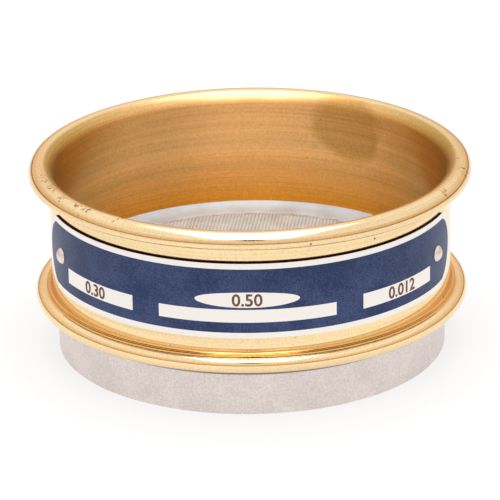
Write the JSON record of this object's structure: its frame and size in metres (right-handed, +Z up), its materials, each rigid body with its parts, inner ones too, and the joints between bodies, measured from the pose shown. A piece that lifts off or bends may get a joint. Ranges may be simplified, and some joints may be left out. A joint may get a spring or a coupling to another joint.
{
  "type": "test sieve",
  "caption": "Round brass test sieve with rolled rim, riveted curved nameplate, soldered wire cloth and a plain skirt that nests in the sieve below.",
  "frame": {"origin": "on the sieve's axis at the skirt's lower edge, which stands on the bench", "axes": "+Z up along the sieve's axis, -Y towards the nameplate, +X to the right as the plate is read"},
  "size_m": [0.0858, 0.0858, 0.0377],
  "materials": {
    "polished_brass": "polished, with fine spinning lines",
    "tinned_skirt": "matt tinned, slightly grainy",
    "wire_cloth": "drawn wire",
    "solder": "smooth matt solder",
    "plate_aluminium": "satin",
    "blue_enamel": "semi-gloss baked enamel",
    "rivet_aluminium": "bright, round head"
  },
  "bodies": {
    "root": {"frame": "polished_brass", "skirt": "tinned_skirt", "wire_cloth": "wire_cloth", "solder_fillet": "solder", "nameplate": "plate_aluminium", "nameplate_enamel": "blue_enamel", "rivet_left": "rivet_aluminium", "rivet_right": "rivet_aluminium"}
  },
  "joints": []
}
